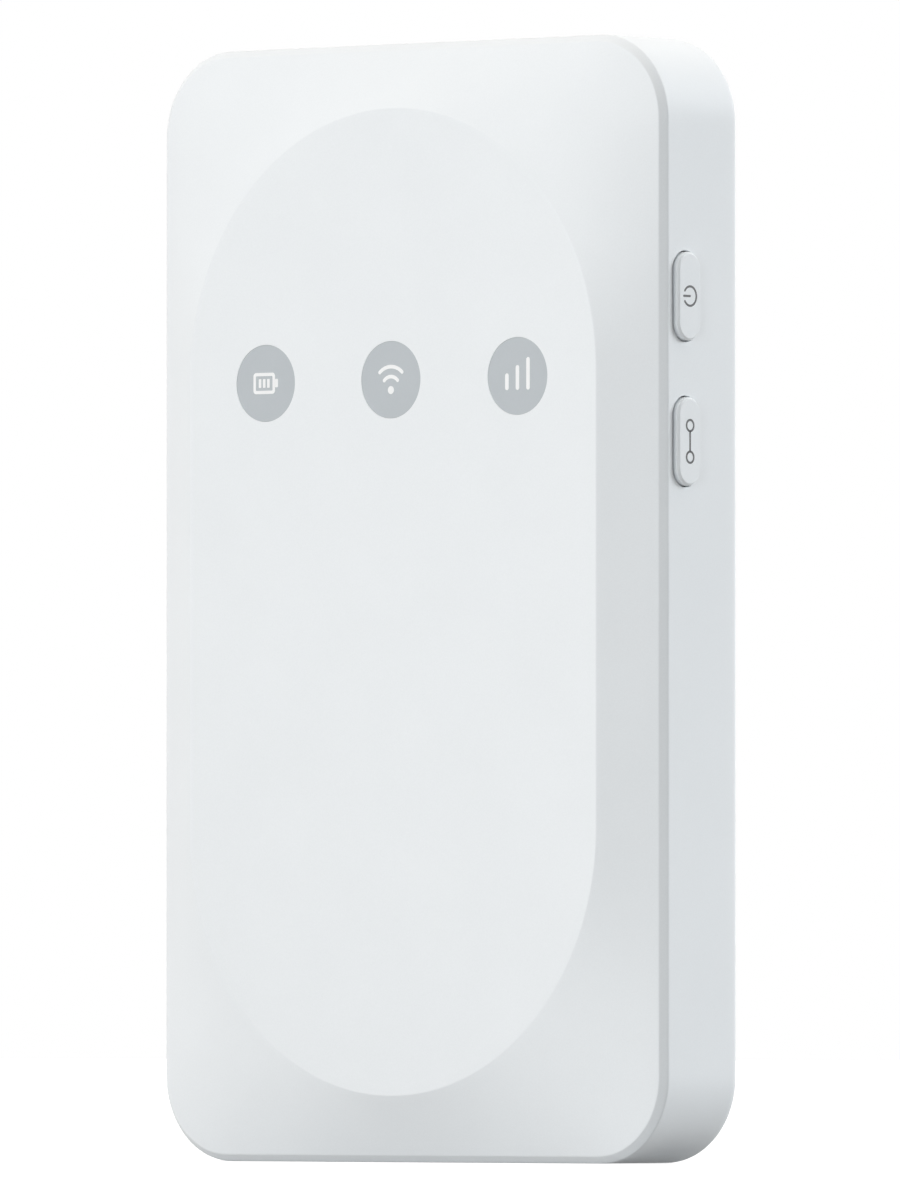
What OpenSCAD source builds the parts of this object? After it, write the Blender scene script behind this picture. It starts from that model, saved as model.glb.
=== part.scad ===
// Pocket mobile hotspot, standing upright: front towards -Y, buttons on the +X side, bottom edge on Z = 0.
// The outer width, height and thickness are stacked up from the pieces inside.

/* [Housing] */
// Thickness of the side walls
wall = 1.5; // [1.3:0.1:2]
// Thickness of the front wall
skin = 1.6; // [1.2:0.1:2.2]
// Corner radius of the housing seen from the front
corner_r = 8.2; // [7:0.1:11]
// Width of the 45 degree strip round the front rim
rim_chamfer = 0.65; // [0.3:0.05:0.9]
// Rounding of the back edge
back_round = 1.2; // [0.5:0.1:1.2]
// Height of the flat plateau above the rim
dome_rise = 2.85; // [2:0.05:3.5]
// Width of the sloping surround along the long sides
side_run = 5.35; // [4:0.05:7]
// Width of the sloping surround at the top and bottom ends
end_run = 5.7; // [4:0.05:8]

/* [Status windows] */
// Radius of each round window
window_r = 3.66; // [3:0.02:4.4]
// Distance between window centres
window_pitch = 15.8; // [12:0.1:17]
// Distance of the window centres below the top edge
window_drop = 32.3; // [28:0.1:36]
// Radial gap between a window and its bore
window_gap = 0.04; // [0.02:0.01:0.1]
// How far the window face lies under the plateau
window_sink = 0.05; // [0:0.01:0.2]
// Width of the glued flange behind each window
window_flange = 0.8; // [0.5:0.1:1.2]
// Thickness of that flange
window_flange_t = 0.6; // [0.4:0.1:1]

/* [Side buttons] */
// Length of a button
button_len = 8.4; // [7:0.05:9.5]
// Width of a button
button_w = 3.35; // [2.6:0.05:3.6]
// How far a button stands out of the side wall
button_proud = 0.56; // [0.4:0.02:0.8]
// Gap round a button
button_gap = 0.25; // [0.2:0.01:0.35]
// Bevel on the edge of a button's face
button_bevel = 0.16; // [0.05:0.01:0.3]
// Distance of the button axis behind the front rim
button_setback = 3.2; // [2.8:0.05:3.8]
// Distance of the upper button below the top edge
button_drop = 24.95; // [22:0.05:28]
// Distance between the two buttons
button_pitch = 13.75; // [13:0.05:16]
// Press travel of a button
button_travel = 0.3; // [0.2:0.05:0.4]
// Length of the retaining ear at each end
ear_len = 1.8; // [1.2:0.1:2]
// Thickness of the ears
ear_t = 0.8; // [0.6:0.1:1]
// Clearance between the ears and the wall
ear_gap = 0.3; // [0.2:0.05:0.4]
// Length of the foot that meets the plunger
button_foot = 0.3; // [0.2:0.05:0.5]

/* [Switches] */
// Height of a side-push switch above the board
switch_h = 1.95; // [1.6:0.05:2.4]
// Length of a switch along the board edge
switch_l = 4.6; // [4:0.1:6]
// Depth of a switch
switch_d = 3.5; // [2.8:0.1:4.5]
// Radius of a plunger
plunger_r = 0.6; // [0.4:0.05:0.75]
// Reach of the plunger out of the switch
plunger_out = 0.7; // [0.5:0.05:1]
// Length of the plunger inside the switch
plunger_in = 0.8; // [0.5:0.1:1.2]
// Running gap round a plunger
plunger_gap = 0.1; // [0.05:0.01:0.15]
// Side length of the square reset switch
reset_side = 3; // [2.4:0.1:4]
// Height of the reset switch above the board
reset_h = 1.4; // [1.2:0.1:1.8]
// Press travel of the reset plunger
reset_travel = 0.25; // [0.15:0.05:0.3]

/* [Board] */
// Thickness of the circuit board
board_t = 1; // [0.8:0.1:1.6]
// Distance between the board edge and the housing wall
board_margin = 1.7; // [1.4:0.1:2]
// Height of the sheet-metal cans
can_h = 1.8; // [1.4:0.1:2.4]
// Sheet thickness of the cans
can_sheet = 0.2; // [0.15:0.05:0.3]
// Width of both cans
can_w = 32; // [28:0.5:36]
// Length of the baseband can
baseband_l = 26; // [22:0.5:28]
// Length of the radio can
radio_l = 20; // [16:0.5:24]
// Side length of the modem chip
modem_side = 12; // [9:0.5:14]

/* [Charging socket] */
// Width of the socket shell
usb_w = 8.94; // [8.9:0.01:9]
// Height of the socket shell
usb_h = 3.16; // [3.1:0.01:3.3]
// Length of the socket shell
usb_len = 7.35; // [6.5:0.05:8]
// Sheet thickness of the socket shell
usb_sheet = 0.3; // [0.2:0.05:0.3]
// Gap between the shell and its mouth in the wall
usb_gap = 0.28; // [0.2:0.02:0.4]
// How far the shell lies inside the bottom edge
usb_sink = 0.6; // [0.3:0.1:1]

/* [Card holder] */
// Width of the card holder
sim_w = 13.6; // [12.6:0.1:15]
// Length of the card holder
sim_l = 13.5; // [12.6:0.1:15]
// Height of the card holder
sim_h = 1.4; // [1.2:0.1:1.8]

/* [Battery] */
// Width of the battery pack
battery_w = 50; // [46:0.5:56]
// Length of the battery pack
battery_h = 58; // [54:0.5:66]
// Thickness of the battery pack
battery_t = 4; // [3.6:0.1:5.5]
// Length of the moulded end cap that carries the terminals
cap_len = 3.2; // [2.4:0.1:5]
// Clearance round the battery pack
bay_clear = 0.3; // [0.2:0.05:0.5]
// Clearance between the battery pack and the cover
battery_slack = 0.225; // [0.15:0.025:0.5]
// Height of the battery connector
connector_h = 3.6; // [3:0.1:4]
// Width of the battery connector
connector_w = 11; // [9:0.1:13]
// Distance between battery terminals
terminal_pitch = 3; // [2.5:0.1:3.5]

/* [Frame and cover] */
// Width of the frame's rails beside the battery
rail_w = 4.4; // [4:0.1:5.5]
// Length of the frame below the battery
foot_len = 30.2; // [29:0.1:36]
// Length of the frame above the battery
head_len = 14.6; // [14:0.1:20]
// Thickness of the frame under the battery
frame_floor = 0.8; // [0.6:0.1:1.2]
// Thickness of the frame's decks
deck_t = 1.2; // [1:0.1:1.6]
// Width of the thumb notch above the battery
thumb_w = 16; // [12:0.5:24]
// Depth of the thumb notch in the deck
thumb_depth = 0.9; // [0.5:0.1:1]
// Gap between the housing and the frame and cover
frame_gap = 0.3; // [0.2:0.05:0.4]
// Thickness of the back cover
cover_t = 1.2; // [1:0.1:1.6]
// Bevel round the outer face of the back cover
cover_bevel = 0.25; // [0.1:0.05:0.4]
// Clearance between the frame and the cover
cover_seat = 0.05; // [0.02:0.01:0.1]
// Length of a cover tab
tab_w = 5; // [4:0.1:6]
// Thickness of a cover tab
tab_t = 0.8; // [0.6:0.1:1]
// Depth of a cover tab
tab_depth = 2.2; // [1.6:0.1:2.6]
// Clearance round a tab
tab_gap = 0.3; // [0.2:0.05:0.4]
// Radius of the finger nail notch
nail_r = 4; // [3:0.1:5]
// Depth of the finger nail notch
nail_depth = 0.6; // [0.4:0.05:0.8]

/* [Screws] */
// Radius of a screw's shank
screw_r = 0.75; // [0.6:0.05:0.9]
// Radius of a screw's head
screw_head_r = 1.35; // [1.2:0.05:1.5]
// Thickness of a screw's head
screw_head_t = 0.9; // [0.7:0.1:1.2]
// Wall of the boss round a screw
boss_wall = 1.2; // [1:0.1:1.3]
// Distance of the screws from the frame's side edge
screw_edge = 2.2; // [2.1:0.05:2.3]
// Distance of the screws from the frame's ends
screw_end = 10.2; // [9:0.1:12]

/* [Hidden] */
$fn = 64;
over = 1;        // how far a cut runs past the face it opens
slab = 0.2;      // thickness of the slices that a bevelled form is drawn from
bevel_fn = 64;   // sides of a circle in a bevelled form
end_steps = 8;   // parts that a quarter of the housing is drawn in: along its end, its corner and its side
corner_steps = 14;
side_steps = 8;
back_turn = 15;  // angle between the loops of the back rounding

// Across the body
body_w = battery_w + 2 * (bay_clear + rail_w + frame_gap + wall);
inner_x = body_w / 2 - wall;
frame_x = inner_x - frame_gap;
bay_x = battery_w / 2 + bay_clear;
board_x = inner_x - board_margin;

// Up the body
frame_z0 = wall + frame_gap;
bay_z0 = frame_z0 + foot_len;
bay_z1 = bay_z0 + battery_h + 2 * bay_clear;
frame_z1 = bay_z1 + head_len;
body_h = frame_z1 + frame_gap + wall;
mid_z = body_h / 2;
frame_h = frame_z1 - frame_z0;
battery_z0 = bay_z0 + bay_clear;
window_z = body_h - window_drop;
power_z = body_h - button_drop;
pairing_z = power_z - button_pitch;

// Through the body, from the plateau to the back
stack_d = board_t + frame_floor + battery_t + battery_slack + cover_t;
body_d = dome_rise + button_setback + switch_h / 2 + stack_d;
front_y = -body_d / 2;
back_y = body_d / 2;
rim_y = front_y + dome_rise;
band_y = rim_y + rim_chamfer;
inner_front_y = front_y + skin;
button_y = rim_y + button_setback;
board_front = button_y + switch_h / 2;
board_back = board_front + board_t;
bay_y = board_back + frame_floor;
cover_y = back_y - cover_t;
deck_y = cover_y - cover_seat;

// Plateau and the slope round it, outside and inside
pill_w = body_w - 2 * (rim_chamfer + side_run);
pill_h = body_h - 2 * (rim_chamfer + end_run);
pill_flat = (pill_h - pill_w) / 2;
slope = dome_rise / side_run;
pill_inset = skin * tan(atan(slope) / 2);
inner_rim_y = inner_front_y + slope * (side_run + rim_chamfer + pill_inset - wall);
rim_flat = 0.2;  // least flat left between the back rounding and the cavity
back_r = min(back_round, wall - rim_flat);

// Buttons and switches, along X
ear_x = inner_x - ear_gap;
face_x = body_w / 2 + button_proud;
foot_x = ear_x - ear_t - button_foot;
switch_x1 = foot_x - plunger_out;
switch_x0 = switch_x1 - switch_d;
button_foot_r = plunger_r + 0.2;
stop_gap = 0.15;                        // room left behind a pressed plunger
plunger_bore = plunger_in + button_travel + stop_gap;

// Windows and lights
window_xs = [-window_pitch, 0, window_pitch];
flange_r = window_r + window_flange;
flange_y = inner_front_y + window_flange_t;
shield_wall = 0.9;
shield_r = window_r;
shield_seat = 0.05;
led_size = [1.6, 0.7, 0.8];

// Cans and chips on the front of the board
can_gap = 3;
can_corner = 1;
radio_z1 = window_z - flange_r - shield_wall - can_gap;
radio_z = radio_z1 - radio_l / 2;
baseband_z = radio_z - radio_l / 2 - can_gap - baseband_l / 2;
chip_h = 0.9;
modem_x = -can_w / 2 + modem_side / 2 + 2;
memory_side = modem_side * 2 / 3;
memory_x = can_w / 2 - memory_side / 2 - 2;
wifi_side = 7;
wifi_x = -can_w / 2 + wifi_side / 2 + 3;
amp_size = [6, 5];
amp_x = can_w / 2 - amp_size[0] / 2 - 3;

// Charging socket
usb_y = board_back + usb_h / 2;
usb_z1 = usb_sink + usb_len;
tongue_w = usb_w - 2.25;
tongue_t = 0.7;
tongue_root = 2.2;                      // depth of the moulded block at the back of the shell
tongue_sink = 0.8;                      // how far the tongue's tip lies inside the shell
tongue_fit = 0.05;

// Card holder, reset switch and battery connector, on the back of the board
end_wall = 2.2;
bay_wall = 1.6;
foot_z0 = frame_z0 + end_wall;
foot_z1 = bay_z0 - bay_wall;
head_z0 = bay_z1 + bay_wall;
head_z1 = frame_z1 - end_wall;
sim_offset = 5;                         // from the middle of the board to the near side of the holder
sim_margin = 1;
sim_x = -sim_w / 2 - sim_offset;
sim_z1 = foot_z1 - sim_margin;
sim_z0 = sim_z1 - sim_l;
sim_z = (sim_z0 + sim_z1) / 2;
sim_base_t = 0.5;
sim_sheet = 0.2;
sim_entry = 5;                          // length of the opening that the card slides in from
sim_rim = 0.6;
reset_x = 2.5;
reset_drop = 10;                        // from the bay's wall down to the reset switch
reset_z = foot_z1 - reset_drop;
reset_y = board_back + reset_h;
reset_tip = 0.6;                        // reach of the plunger out of the switch
reset_in = 0.5;
reset_r = 0.5;
reset_pin_r = 0.9;
connector_edge = 12.3;                  // from the bay's side to the middle of the connector
connector_d = 4.5;
connector_x = bay_x - connector_edge;
connector_z1 = bay_z0 - bay_clear;
connector_z0 = connector_z1 - connector_d;
connector_z = (connector_z0 + connector_z1) / 2;
connector_room = 0.4;
connector_gap = 0.15;                   // least room between the connector and the deck over it
terminal_xs = [for (i = [-1 : 1]) connector_x + i * terminal_pitch];
terminal_offset = 0.6;                  // from the middle of the battery's thickness towards the board
terminal_y = bay_y + battery_t / 2 - terminal_offset;
terminal_size = [2, 1.8];
terminal_t = 0.2;
blade_w = 1;
blade_t = 0.22;
blade_r = 0.9;
blade_leg = 1.4;
blade_room = 0.15;
battery_corner = 2;
thumb_reach = 2.2;                      // how far the thumb notch runs into the deck

// Screws
screw_x = frame_x - screw_edge;
screw_zs = [frame_z0 + screw_end, frame_z1 - screw_end];
boss_r = screw_r + boss_wall;
pilot_gap = 0.05;
screw_reach = 3.4;                      // thread length inside the boss
screw_clear = 0.15;
head_seat = board_back + 2;             // seat of the screw head inside the rail
standoff_r = 1.5;
standoff_edge = 3;                      // from the bay's side to a standoff
standoff_foot = 6;                      // from the bay's ends to the standoffs below and above it
standoff_head = 3;
standoff_x = bay_x - standoff_edge;
standoff_zs = [bay_z0 - standoff_foot, bay_z1 + standoff_head];

// Cover tabs
tab_zs = [for (share = [0.25, 0.5, 0.75]) frame_z0 + share * frame_h];
tab_xs = [-0.5 * bay_x, 0.5 * bay_x];
tab_inset = tab_gap + tab_t / 2;
nail_x = bay_x - nail_r;

// Antennas
flex_t = 0.15;
flex_pocket = 0.2;
flex_clear = 0.15;
flex_margin = 3;                        // from the deck's edges to the main antenna
main_flex = [1.5 * bay_x, head_len - 2 * flex_margin];
main_flex_z = (bay_z1 + frame_z1) / 2;
wifi_flex = [13, 10];
wifi_shift = 3;                         // from the connector's middle line to that of the small antenna
wifi_rise = 5;                          // from the frame's end wall to the small antenna
wifi_flex_x = connector_x + wifi_shift;
wifi_flex_z = foot_z0 + wifi_flex[1] / 2 + wifi_rise;
flex_corner = 1;
slit_w = 0.8;
pin_r = 0.5;
pin_base = [0.9, 1];
pin_clear = 0.2;
pin_drop = 1.5;                         // from the middle of an antenna down to its feed pins
main_pins = [for (s = [-1, 1]) [s * main_flex[0] / 4, main_flex_z - pin_drop]];
wifi_pins = [for (s = [-1, 1]) [wifi_flex_x + s * wifi_flex[0] / 4, wifi_flex_z - pin_drop]];
feed_pins = concat(main_pins, wifi_pins);

white = [0.92, 0.93, 0.93];
steel = [0.75, 0.76, 0.78];
gold = [0.85, 0.68, 0.32];
black = [0.1, 0.1, 0.11];

// Flat shapes

module outline(w, h, r) {
    square([w - 2 * r, h], center = true);
    square([w, h - 2 * r], center = true);
    for (sx = [-1, 1], sy = [-1, 1]) translate([sx * (w / 2 - r), sy * (h / 2 - r)]) circle(r);
}

module capsule(w, h) {
    square([w, h - w], center = true);
    for (s = [-1, 1]) translate([0, s * (h - w) / 2]) circle(d = w);
}

module wide_capsule(w, h) rotate(90) capsule(h, w);

// Flat shapes drawn in X-Z, Y-Z and X-Y, given a thickness along the third axis

module along_y(y0, y1, x = 0, z = 0)
    translate([x, y1, z]) rotate([90, 0, 0]) linear_extrude(y1 - y0) children();

module along_x(x0, x1, y = 0, z = 0)
    translate([x0, y, z]) rotate([90, 0, 90]) linear_extrude(x1 - x0) children();

module along_z(z0, z1, x = 0, y = 0)
    translate([x, y, z0]) linear_extrude(z1 - z0) children();

module at_screws() for (sx = [-1, 1], z = screw_zs) translate([sx * screw_x, 0, z]) children();

// Loops of the housing, as X and height above the middle. A quarter of the rim runs from the middle of an
// end, round the corner, to where the pill turns straight. The pill's quarter arc is shared out by the rim's
// running length, so that the lines between the two fan out evenly.

function rim_quarter(inset) =
    let (x = body_w / 2 - corner_r, z = body_h / 2 - corner_r, r = corner_r - inset) concat(
        [for (i = [0 : end_steps - 1]) [x * i / end_steps, z + r]],
        [for (i = [0 : corner_steps - 1]) let (a = 90 * i / corner_steps) [x + r * sin(a), z + r * cos(a)]],
        [for (i = [0 : side_steps]) [x + r, z - (z - pill_flat) * i / side_steps]]);

function run_to(points, i) = i == 0 ? 0 : run_to(points, i - 1) + norm(points[i] - points[i - 1]);

function pill_quarter(inset) =
    let (rim = rim_quarter(rim_chamfer), last = len(rim) - 1)
    let (length = run_to(rim, last), r = pill_w / 2 - inset)
        [for (i = [0 : last]) let (a = 90 * run_to(rim, i) / length) [r * sin(a), pill_flat + r * cos(a)]];

function full_loop(quarter) = let (last = len(quarter) - 1) concat(
    quarter,
    [for (i = [last : -1 : 1]) [quarter[i][0], -quarter[i][1]]],
    [for (point = quarter) -point],
    [for (i = [last : -1 : 1]) [-quarter[i][0], quarter[i][1]]]);

function rim_loop(inset) = full_loop(rim_quarter(inset));

function pill_loop(inset) = full_loop(pill_quarter(inset));

// Solid through loops with as many points each, which lie at the given depths along Y. Its flat ends fan out
// from a hub in the middle.
module loft(loops, depths) {
    n = len(loops[0]);
    last = len(loops) - 1;
    hub = n * len(loops);
    rings = [for (k = [0 : last], point = loops[k]) [point[0], depths[k], mid_z + point[1]]];
    hubs = [for (k = [0, last]) [0, depths[k], mid_z]];
    sides = [for (k = [0 : last - 1], i = [0 : n - 1])
        let (a = k * n + i, b = k * n + (i + 1) % n) each [[a, a + n, b + n], [a, b + n, b]]];
    ends = [for (i = [0 : n - 1])
        let (j = (i + 1) % n) each [[i, j, hub], [last * n + j, last * n + i, hub + 1]]];
    polyhedron(concat(rings, hubs), concat(sides, ends));
}

// Housing

module outer_form() {
    turns = [for (a = [0 : back_turn : 90]) a];
    loft(
        concat([pill_loop(0), rim_loop(rim_chamfer), rim_loop(0)],
            [for (a = turns) rim_loop(back_r * (1 - cos(a)))]),
        concat([front_y, rim_y, band_y], [for (a = turns) back_y - back_r * (1 - sin(a))]));
}

module cavity() loft(
    [pill_loop(pill_inset), rim_loop(wall), rim_loop(wall)],
    [inner_front_y, inner_rim_y, back_y + over]);

module bosses() {
    at_screws() along_y(front_y, board_back) circle(boss_r);
    for (sx = [-1, 1], z = standoff_zs) along_y(front_y, board_front, sx * standoff_x, z) circle(standoff_r);
}

module button_hole(z) {
    along_x(foot_x, body_w / 2 + over, button_y, z)
        capsule(button_w + 2 * button_gap, button_len + 2 * button_gap);
    along_x(foot_x - button_travel, inner_x, button_y, z)
        capsule(button_w + 2 * button_gap, button_len + 2 * (ear_len + button_gap));
}

module front_housing() color(white) difference() {
    outer_form();
    difference() {
        cavity();
        bosses();
    }
    for (x = window_xs)
        along_y(front_y - over, inner_front_y + over, x, window_z) circle(window_r + window_gap);
    for (z = [power_z, pairing_z]) button_hole(z);
    along_z(-over, wall + over, 0, usb_y) wide_capsule(usb_w + 2 * usb_gap, usb_h + 2 * usb_gap);
    at_screws() along_y(board_back - screw_reach - over / 2, board_back + over) circle(screw_r + pilot_gap);
}

// Status windows and their lights

module window(x) color([0.72, 0.74, 0.75]) {
    along_y(front_y + window_sink, flange_y, x, window_z) circle(window_r);
    along_y(inner_front_y, flange_y, x, window_z) circle(flange_r);
}

module battery_window() window(window_xs[0]);

module wifi_window() window(window_xs[1]);

module signal_window() window(window_xs[2]);

module light_shield() color(black) difference() {
    along_y(flange_y + shield_seat, board_front - shield_seat, 0, window_z)
        wide_capsule(2 * (window_pitch + flange_r + shield_wall), 2 * (flange_r + shield_wall));
    for (x = window_xs) along_y(front_y, board_back, x, window_z) circle(shield_r);
}

module status_leds() color([0.95, 0.95, 0.8]) for (x = window_xs)
    along_y(board_front - led_size[1], board_front, x, window_z)
        square([led_size[0], led_size[2]], center = true);

// Side buttons and their switches

module side_button(z) color(white) {
    along_x(ear_x, face_x - button_bevel, button_y, z) capsule(button_w, button_len);
    hull() {
        along_x(face_x - button_bevel - slab, face_x - button_bevel, button_y, z)
            capsule(button_w, button_len, $fn = bevel_fn);
        along_x(face_x - slab, face_x, button_y, z)
            capsule(button_w - 2 * button_bevel, button_len - 2 * button_bevel, $fn = bevel_fn);
    }
    along_x(ear_x - ear_t, ear_x, button_y, z) capsule(button_w, button_len + 2 * ear_len);
    along_x(foot_x, ear_x - ear_t, button_y, z) circle(button_foot_r);
}

module side_switch(z) color(steel) difference() {
    along_x(switch_x0, switch_x1, button_y, z) square([switch_h, switch_l], center = true);
    along_x(switch_x1 - plunger_bore, switch_x1 + over, button_y, z) circle(plunger_r + plunger_gap);
}

module side_plunger(z) color(black)
    along_x(switch_x1 - plunger_in, foot_x, button_y, z) circle(plunger_r);

module power_button() side_button(power_z);

module pairing_button() side_button(pairing_z);

module power_switch() side_switch(power_z);

module pairing_switch() side_switch(pairing_z);

module power_plunger() side_plunger(power_z);

module pairing_plunger() side_plunger(pairing_z);

module reset_switch() color(steel) difference() {
    along_y(board_back, reset_y, reset_x, reset_z) square(reset_side, center = true);
    along_y(reset_y - reset_in - reset_travel - stop_gap, reset_y + over, reset_x, reset_z)
        circle(reset_r + plunger_gap);
}

module reset_plunger() color(black)
    along_y(reset_y - reset_in, reset_y + reset_tip, reset_x, reset_z) circle(reset_r);

// Circuit board and what is soldered to its front

module main_board() color([0.1, 0.35, 0.2]) difference() {
    along_y(board_front, board_back, 0, mid_z)
        outline(2 * board_x, body_h - 2 * (wall + board_margin), corner_r - wall - board_margin);
    at_screws() along_y(board_front - over, board_back + over) circle(boss_r + tab_gap);
}

module can(l, z) color(steel) difference() {
    along_y(board_front - can_h, board_front, 0, z) outline(can_w, l, can_corner);
    along_y(board_front - can_h + can_sheet, board_front + over, 0, z)
        outline(can_w - 2 * can_sheet, l - 2 * can_sheet, can_corner - can_sheet);
}

module baseband_shield() can(baseband_l, baseband_z);

module rf_shield() can(radio_l, radio_z);

module chip(size, x, z) color(black)
    along_y(board_front - chip_h, board_front, x, z) square(size, center = true);

module modem_chip() chip([modem_side, modem_side], modem_x, baseband_z);

module memory_chip() chip([memory_side, modem_side], memory_x, baseband_z);

module wifi_chip() chip([wifi_side, wifi_side], wifi_x, radio_z);

module power_amplifier() chip(amp_size, amp_x, radio_z);

// Charging socket

module usb_shell() color(steel) along_z(usb_sink, usb_z1, 0, usb_y) difference() {
    wide_capsule(usb_w, usb_h);
    wide_capsule(usb_w - 2 * usb_sheet, usb_h - 2 * usb_sheet);
}

module usb_tongue() color(black) {
    along_z(usb_sink + tongue_sink, usb_z1 - tongue_root, 0, usb_y)
        square([tongue_w, tongue_t], center = true);
    along_z(usb_z1 - tongue_root, usb_z1, 0, usb_y)
        wide_capsule(usb_w - 2 * (usb_sheet + tongue_fit), usb_h - 2 * (usb_sheet + tongue_fit));
}

// Card holder

module sim_base() color(black)
    along_y(board_back, board_back + sim_base_t, sim_x, sim_z) square([sim_w, sim_l], center = true);

module sim_cage() color(steel) difference() {
    along_y(board_back + sim_base_t, board_back + sim_h, sim_x, sim_z) square([sim_w, sim_l], center = true);
    along_y(board_back + sim_base_t - over, board_back + sim_h - sim_sheet, sim_x, sim_z - sim_sheet)
        square([sim_w - 2 * sim_sheet, sim_l], center = true);
    along_y(board_back, board_back + sim_h + over, sim_x, sim_z0) circle(sim_w / 4);
}

// Battery, its connector and its contacts

module terminals(grow) for (x = terminal_xs)
    along_z(battery_z0 - (grow > 0 ? over : 0), battery_z0 + terminal_t, x, terminal_y)
        square([terminal_size[0] + 2 * grow, terminal_size[1] + 2 * grow], center = true);

module battery_form() along_y(bay_y, bay_y + battery_t, 0, battery_z0 + battery_h / 2)
    outline(battery_w, battery_h, battery_corner);

module cap_zone() along_z(battery_z0 - over, battery_z0 + cap_len, 0, bay_y + battery_t / 2)
    square([battery_w + 2 * over, battery_t + 2 * over], center = true);

module battery_pack() color([0.85, 0.86, 0.87]) difference() {
    battery_form();
    cap_zone();
}

module battery_cap() color(black) difference() {
    intersection() {
        battery_form();
        cap_zone();
    }
    terminals(tongue_fit);
}

module battery_terminals() color(gold) terminals(0);

module blade_slots() for (x = terminal_xs)
    along_z(battery_z0 - blade_r - blade_leg - blade_room, connector_z1 + over, x, terminal_y)
        square([blade_w + 2 * blade_room, 2 * (blade_r + blade_room)], center = true);

module battery_connector() color(black) difference() {
    along_y(board_back, board_back + connector_h, connector_x, connector_z)
        square([connector_w, connector_d], center = true);
    blade_slots();
}

module blade_profile() {
    intersection() {
        difference() {
            circle(blade_r);
            circle(blade_r - blade_t);
        }
        translate([-blade_r, 0]) square([2 * blade_r, blade_r]);
    }
    for (x = [-blade_r, blade_r - blade_t]) translate([x, -blade_leg]) square([blade_t, blade_leg]);
    translate([-blade_r, -blade_leg]) square([2 * blade_r, blade_t]);
}

module battery_springs() color(gold) for (x = terminal_xs)
    along_x(x - blade_w / 2, x + blade_w / 2, terminal_y, battery_z0 - blade_r) blade_profile();

// Inner frame, its screws and the antennas on it

module frame_cuts() {
    along_y(bay_y, deck_y + over, 0, (bay_z0 + bay_z1) / 2)
        square([2 * bay_x, bay_z1 - bay_z0], center = true);
    for (zone = [[foot_z0, foot_z1], [head_z0, head_z1]])
        along_y(board_back - over, deck_y - deck_t, 0, (zone[0] + zone[1]) / 2)
            square([2 * bay_x, zone[1] - zone[0]], center = true);
    along_z(-over, foot_z0 + over, 0, usb_y - over / 2)
        square([usb_w + 2 * tab_gap, usb_h + over + 2 * tab_gap], center = true);
    along_y(board_back - over, board_back + connector_h + connector_room, connector_x, bay_z0)
        square([connector_w + 2 * connector_room, 2 * (bay_wall + over)], center = true);
    along_y(board_back - over, board_back + connector_h + connector_gap, connector_x, connector_z)
        square([connector_w + 2 * connector_gap, connector_d + 2 * connector_gap], center = true);
    along_y(board_back, deck_y + over, sim_x, (sim_z0 - sim_entry + sim_z1) / 2)
        square([sim_w + 2 * sim_rim, sim_l + sim_entry + 2 * sim_rim], center = true);
    along_y(board_back, deck_y + over, reset_x, reset_z) circle(reset_pin_r);
    along_y(deck_y - thumb_depth, deck_y + over, 0, bay_z1) wide_capsule(thumb_w, 2 * thumb_reach);
    at_screws() {
        along_y(board_back - over, deck_y + over) circle(screw_r + screw_clear);
        along_y(head_seat, deck_y + over) circle(screw_head_r + screw_clear);
    }
}

module tab_notches() {
    notch_w = tab_w + 2 * tab_gap;
    notch_y = cover_y - tab_depth - tab_gap;
    for (sx = [-1, 1], z = tab_zs) along_y(notch_y, deck_y + over, sx * frame_x, z)
        square([2 * (tab_t + 2 * tab_gap), notch_w], center = true);
    for (x = tab_xs, z = [frame_z0, frame_z1]) along_y(notch_y, deck_y + over, x, z)
        square([notch_w, 2 * (tab_t + 2 * tab_gap)], center = true);
}

module flex_seat(size, x, z) along_y(deck_y - flex_pocket, deck_y + over, x, z)
    outline(size[0] + 2 * flex_clear, size[1] + 2 * flex_clear, flex_corner);

module mid_frame() color([0.86, 0.87, 0.87]) difference() {
    along_y(board_back, deck_y, 0, mid_z) outline(2 * frame_x, frame_h, corner_r - wall - frame_gap);
    frame_cuts();
    tab_notches();
    flex_seat(main_flex, 0, main_flex_z);
    flex_seat(wifi_flex, wifi_flex_x, wifi_flex_z);
    for (pin = feed_pins) along_y(board_back, deck_y + over, pin[0], pin[1]) circle(pin_r + pin_clear);
}

module frame_screws() color(steel) at_screws() difference() {
    union() {
        along_y(board_back - screw_reach, head_seat + screw_head_t / 2) circle(screw_r);
        along_y(head_seat, head_seat + screw_head_t) circle(screw_head_r);
    }
    along_y(head_seat + screw_head_t / 2, head_seat + screw_head_t + over) {
        square([screw_head_r * 1.2, screw_head_r / 4], center = true);
        square([screw_head_r / 4, screw_head_r * 1.2], center = true);
    }
}

module flex(size, x, z, slits) color([0.75, 0.5, 0.3])
    along_y(deck_y - flex_pocket, deck_y - flex_pocket + flex_t, x, z) difference() {
        outline(size[0], size[1], flex_corner);
        for (i = [1 : slits]) translate([(i / (slits + 1) - 0.5) * size[0], (i % 2 - 0.5) * size[1] / 2])
            square([slit_w, size[1] * 0.6], center = true);
    }

module main_antenna() flex(main_flex, 0, main_flex_z, 5);

module wifi_antenna() flex(wifi_flex, wifi_flex_x, wifi_flex_z, 1);

module antenna_pins() color(gold) for (pin = feed_pins) {
    along_y(board_back, deck_y - flex_pocket, pin[0], pin[1]) circle(pin_r);
    along_y(board_back, board_back + pin_base[1], pin[0], pin[1]) circle(pin_base[0]);
}

// Back cover

module cover_slice(y0, y1, inset) along_y(y0, y1, 0, mid_z)
    outline(2 * (frame_x - inset), frame_h - 2 * inset, corner_r - wall - frame_gap - inset);

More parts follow.
